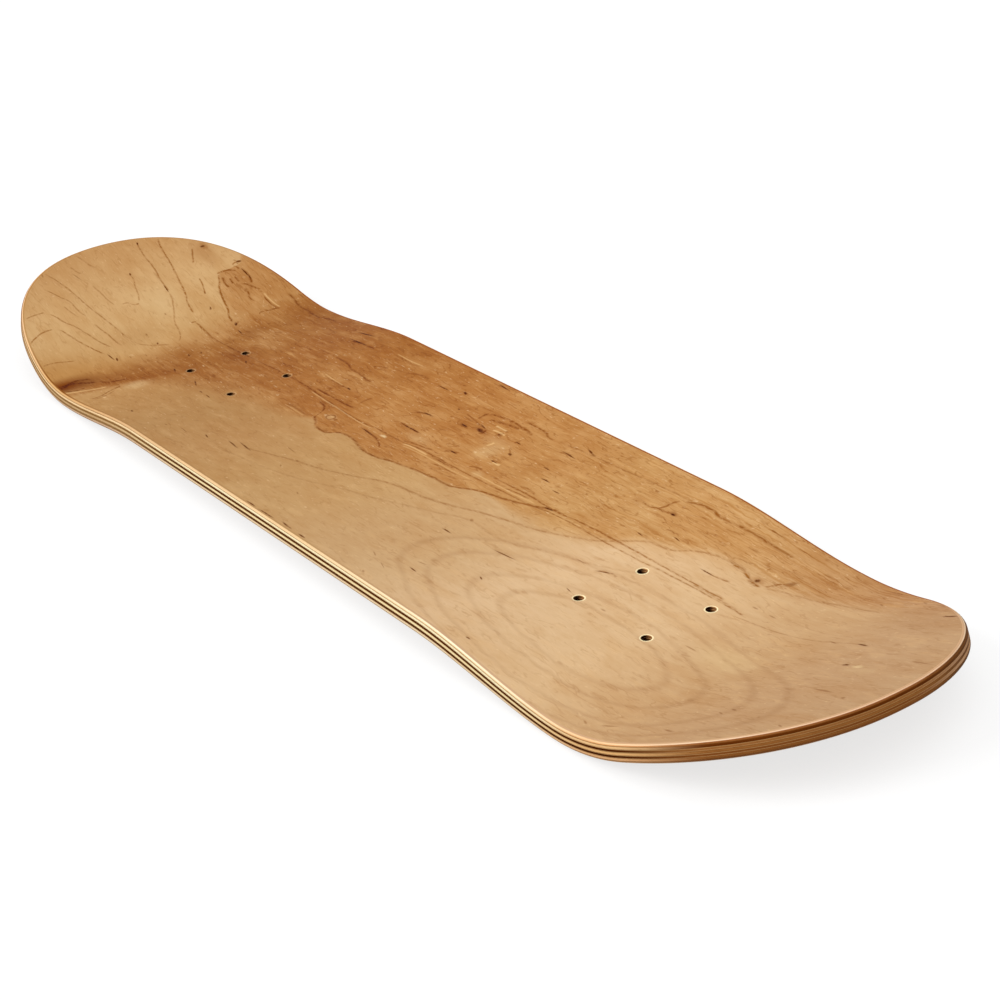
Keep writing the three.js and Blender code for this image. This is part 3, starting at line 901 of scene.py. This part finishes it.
def drawn_streaks(place, table):
    """1 inside each short streak of a table, and 0 outside them all."""
    nearest = None
    for turn, streaks in table.items():
        values = [place, (0, 0, 0), (0, 0, -math.radians(turn))]
        turned = place.finish.node("Mapping", {}, values)
        for along, across, half_length, half_width in streaks:
            centre = Matrix.Rotation(-math.radians(turn), 2) @ Vector((along, across))
            distance = reach(turned, centre, (half_length, half_width))
            nearest = distance if nearest is None else nearest.math("MINIMUM", distance)
    return rising(nearest, 1.15, 0.3)


def figured_maple(name):
    """The standing face, with all that the tables place on it."""
    finish = Finish(bpy.data.materials.new(name))
    place = face_map(finish)
    waved = wavering(place, 7 * mm)
    ruffled = wavering(place, 1.8 * mm)
    across = coordinate(ruffled, "Y")
    along = coordinate(place, "X")

    # sapwood and heartwood, which meet sharply in the middle of the board and softly elsewhere
    _, edge = course(along, heart_edge)
    softness = 2 * mm + 9 * mm * rising(abs(along - 22 * mm), 80 * mm, 120 * mm)
    softness = softness + 12 * mm * rising(along, 115 * mm, 190 * mm)
    heart = rising((edge - across) / softness, -1, 1)
    heart = heart * rising(along + 0.2 * across, 300 * mm, 262 * mm)
    _, nose_edge = course(along, nose_heart_edge)
    nose_heart = rising((nose_edge - across) / (2 * mm), -1, 1) * rising(along, 262 * mm, 300 * mm)
    heart = heart.math("MAXIMUM", nose_heart * 0.75)
    colour = blended(heart, toned_along(along, sapwood_and_sheen_tones), toned_along(along, heartwood_tones))

    # clouds, mottles, streaks, fibres and flecks, all stronger in the heartwood
    cloud = grain(waved, (60, 22), 1.3, 3)
    colour = stained(colour, rising(cloud, 0.4, 0.68) * (0.3 + 0.2 * heart), (0.86, 0.72, 0.54))
    colour = blended(rising(cloud, 0.5, 0.26) * heart * 0.3, colour, tone(204, 160, 106))
    mottle = grain(waved, (17, 7), 9.4, 4)
    colour = stained(colour, rising(mottle, 0.4, 0.7) * (0.24 + 0.22 * heart), (0.8, 0.66, 0.46))
    colour = blended(rising(mottle, 0.46, 0.3) * 0.14, colour, tone(226, 184, 130))
    streaky = grain(waved, (44, 1.9), 2.6, 3)
    colour = stained(colour, rising(streaky, 0.5, 0.68) * (0.07 + 0.36 * heart), amber_stain)
    bright = grain(waved, (24, 2), 3.9, 3)
    colour = blended(rising(bright, 0.54, 0.7) * (0.03 + 0.2 * heart), colour, tone(220, 172, 110))
    fibre = grain(waved, (9, 0.6), 4.4, 3)
    colour = stained(colour, rising(fibre, 0.45, 0.75) * (0.17 + 0.2 * heart), amber_stain)
    combed = grain(waved, (90, 1.3), 19.4, 3)
    combed = rising(combed, 0.5, 0.66) * heart * rising(along, -40 * mm, -180 * mm)
    colour = stained(colour, combed * 0.6, amber_stain)
    fleck = grain(waved, (6, 1), 5.2, 2)
    colour = stained(colour, rising(fleck, 0.6, 0.74) * (0.2 + 0.36 * heart), fleck_stain)
    spark = grain(waved, (4.5, 1), 8.3, 2)
    colour = blended(rising(spark, 0.62, 0.78) * (0.3 + 0.15 * heart), colour, tone(238, 206, 160))

    # the heartwood is darker towards the right rail, and has smoky and pale patches
    by_rail = rising(across, -50 * mm, -95 * mm) * rising(along, 40 * mm, 140 * mm) * heart
    colour = stained(colour, by_rail * 0.5, (0.78, 0.62, 0.38))
    colour = stained(colour, drawn_patches(waved, smoky_patches), (0.6, 0.4, 0.2))
    colour = blended(drawn_patches(waved, pale_patches), colour, tone(232, 204, 154))

    # fine growth lines, which wander round the mottles and come and go
    patchy = grain(place, (13, 7), 6.7)
    curl = grain(waved, (46, 9), 14.8, 3)
    lines = rising((curl * 6).math("PINGPONG", 0.5), 0.12, 0) * rising(patchy, 0.35, 0.6)
    colour = stained(colour, lines * (0.3 + 0.3 * heart), (0.62, 0.45, 0.26))

    # the brown band at the foot of the nose's kick, which is darkest at the left rail: partly wood
    # colour and partly painted shade of the crease where the kick starts to rise
    band = rising(along - 0.36 * across, 223 * mm, 229 * mm)
    band = band * rising(along - 0.44 * across, 285 * mm, 238 * mm)
    colour = stained(colour, band * rising(across, -10 * mm, 60 * mm) * 0.8, (0.78, 0.61, 0.38))
    # a darker spot at the left rail in that crease: painted shade over darker wood
    crease_shade_and_dark_wood = rising(reach(waved, (268, 97), (15, 36)), 1, 0.1)
    colour = stained(colour, crease_shade_and_dark_wood, (0.42, 0.2, 0.005))

    # growth rings, veins and mineral streaks
    colour = stained(colour, drawn_loops(waved, loops) * (0.3 + 1.2 * patchy), (0.5, 0.33, 0.18))
    veined = drawn_veins(ruffled, dark_veins) * (0.45 + 1.1 * patchy)
    speckle = grain(place, (3, 1.5), 17.3, 1)
    veined = veined * (0.45 + 0.65 * rising(speckle, 0.36, 0.56))
    colour = stained(colour, veined, (0.52, 0.33, 0.14))
    colour = blended(drawn_veins(ruffled, pale_veins), colour, tone(230, 188, 128))
    colour = stained(colour, drawn_streaks(ruffled, faint_streaks) * 0.6, (0.5, 0.34, 0.2))
    broken = 0.55 + 0.45 * rising(speckle, 0.3, 0.5)
    colour = stained(colour, drawn_streaks(ruffled, mineral_streaks) * broken, (0.27, 0.12, 0.02))

    # raw wood round the bolt holes, where the drill broke the lacquer
    folded = finish.node("VectorMath", {"operation": "ABSOLUTE"}, [place])
    nearest = None
    for row in (inner_bolts, outer_bolts):
        centre = (row, bolt_side_spacing / 2, 0)
        settings = {"operation": "DISTANCE"}
        from_hole = finish.node("VectorMath", settings, [folded, centre], "Value")
        nearest = from_hole if nearest is None else nearest.math("MINIMUM", from_hole)
    frayed = rising(nearest, bolt_hole_radius + 1.1 * mm, bolt_hole_radius + 0.5 * mm)
    frayed = frayed * (0.14 + 0.8 * rising(along, 0, -150 * mm))
    colour = blended(frayed, colour, tone(255, 236, 188))

    lacquered(finish, colour, 0.36 + 0.14 * fibre, fibre, 0.03 * mm)
    return finish


top_face = pressed_veneer("top_face_sheet", 0, seen_rings, hidden_rings)
top_edge = edge_of_veneer("top_face_edge", face_edge_tones, glue_stain, 0)
laid(top_face, [figured_maple("standing_face_maple"), top_edge], "top_face_veneer")
bpy.data.objects.remove(drill)


# Floor
# A plain white floor, level with the lowest point of the board. What is seen of it and of the
# world behind it is white, and the board's shadow shows on it.

floor_size = 12
floor_glow = 0.73
lit_shade = 0.42
seen_shade = 0.3
floor_mesh = bpy.data.meshes.new("floor")
floor_grid = bmesh.new()
bmesh.ops.create_grid(floor_grid, x_segments=1, y_segments=1, size=floor_size / 2)
floor_grid.to_mesh(floor_mesh)
floor_grid.free()
floor = bpy.data.objects.new("floor", floor_mesh)
bpy.context.scene.collection.objects.link(floor)
paint = Finish(bpy.data.materials.new("floor_paint"))


def seen_rays(finish):
    """1 for the rays of the camera and of reflections, 0 for the rays that carry light."""
    names = ("Is Camera Ray", "Is Glossy Ray", "Is Transmission Ray")
    camera, glossy, through = [finish.node("LightPath", {}, [], name) for name in names]
    return camera.math("MAXIMUM", glossy).math("MAXIMUM", through)


lit, seen = [
    paint.node("BsdfDiffuse", {}, {"Color": (shade, shade, shade, 1)})
    for shade in (lit_shade, seen_shade)
]
glow = paint.node("Emission", {}, {"Color": (1, 1, 1, 1), "Strength": floor_glow})
white = paint.node("AddShader", {}, [seen, glow])
painted = paint.node("MixShader", {}, [seen_rays(paint), lit, white])
paint.tree.links.new(painted.socket, paint.output.inputs["Surface"])
floor_mesh.materials.append(paint.owner)


# Light
# A large soft key light from the board's left side, a soft one from above, and a world that is
# white where it is seen and lights the board at half that strength.

scene = bpy.context.scene
studio = Finish(bpy.data.worlds.new("studio"))
scene.world = studio.owner
studio.wear(Color=(1, 1, 1, 1), Strength=rising(seen_rays(studio), -1, 1))
# name, power, spread in degrees, direction from the board
lamps = [("key", 1.5, 35, (0.55, 1.0, 0.75)), ("top", 1.1, 70, (-0.3, 0.1, 1.0))]
for name, power, spread, towards in lamps:
    lamp_data = bpy.data.lights.new(name, "SUN")
    lamp_data.energy = power
    lamp_data.angle = math.radians(spread)
    lamp = bpy.data.objects.new(name, lamp_data)
    lamp.rotation_mode = "QUATERNION"
    lamp.rotation_quaternion = Vector(towards).to_track_quat("Z", "Y")
    scene.collection.objects.link(lamp)


# Camera
# It looks down over the tail towards the nose, from about 1.2 m away. Its place and its lens
# bring the bolt holes and the outline to their places in the photograph.

camera_data = bpy.data.cameras.new("camera")
camera_data.sensor_width = 36
camera_data.lens = 75.84
camera = bpy.data.objects.new("camera", camera_data)
camera.location = (-937.5 * mm, 566.1 * mm, 527.9 * mm)
camera.rotation_euler = [math.radians(angle) for angle in (63.678, 4.143, -125.643)]
scene.collection.objects.link(camera)
scene.camera = camera
scene.view_settings.view_transform = "Standard"
